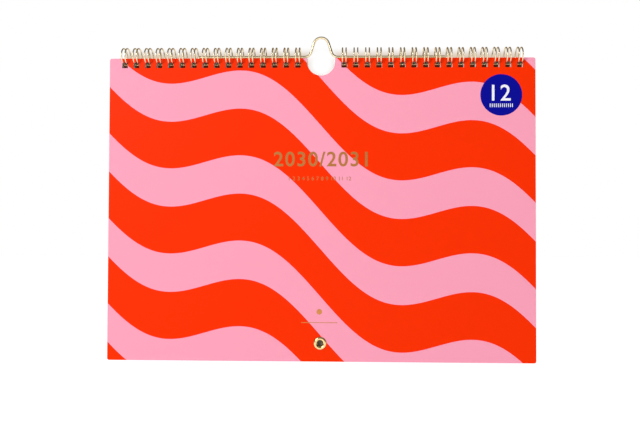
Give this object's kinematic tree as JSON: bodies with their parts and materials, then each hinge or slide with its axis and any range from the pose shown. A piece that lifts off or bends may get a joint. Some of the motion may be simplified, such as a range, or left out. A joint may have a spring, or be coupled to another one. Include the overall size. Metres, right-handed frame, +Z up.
{
  "type": "wall calendar",
  "caption": "Landscape wall calendar bound along its top edge with wire loops, with a wire hanger, a thumb notch, an eyelet near the bottom and covers that fold over the top.",
  "frame": {"origin": "the nail seat, which is the inside of the hanger's hump at its highest point, midway through the wire", "axes": "+X to the right along the bound edge, -Y out of the front face, +Z up"},
  "size_m": [0.31, 0.0126, 0.2363],
  "materials": {
    "cover_print": "printed card in broad orange-red and pink bands with a soft matt film",
    "pages": "uncoated white paper",
    "back_board": "stiff grey-brown pressed board",
    "comb_wire": "pale gold coated steel wire",
    "hanger_wire": "pale gold coated steel wire",
    "eyelet_metal": "bright gold plated",
    "sticker_print": "satin printed paper label"
  },
  "bodies": {
    "hanger": {"hanger": "hanger_wire"},
    "block": {"page_block": "pages", "wire_comb_left": "comb_wire", "wire_comb_right": "comb_wire"},
    "front_cover": {"front_cover": "cover_print", "eyelet": "eyelet_metal", "sticker": "sticker_print"},
    "back_cover": {"back_cover": "back_board"}
  },
  "joints": [
    {"name": "hanger_swing", "type": "hinge", "parent": "hanger", "child": "block", "pos_m": [0, 0, -0.0133], "axis": [1, 0, 0], "range_deg": [-90, 90]},
    {"name": "front_cover_turn", "type": "hinge", "parent": "block", "child": "front_cover", "pos_m": [0, 0, -0.0127], "axis": [-1, 0, 0], "range_deg": [0, 240]},
    {"name": "back_cover_turn", "type": "hinge", "parent": "block", "child": "back_cover", "pos_m": [0, 0, -0.0127], "axis": [1, 0, 0], "range_deg": [0, 240]}
  ]
}
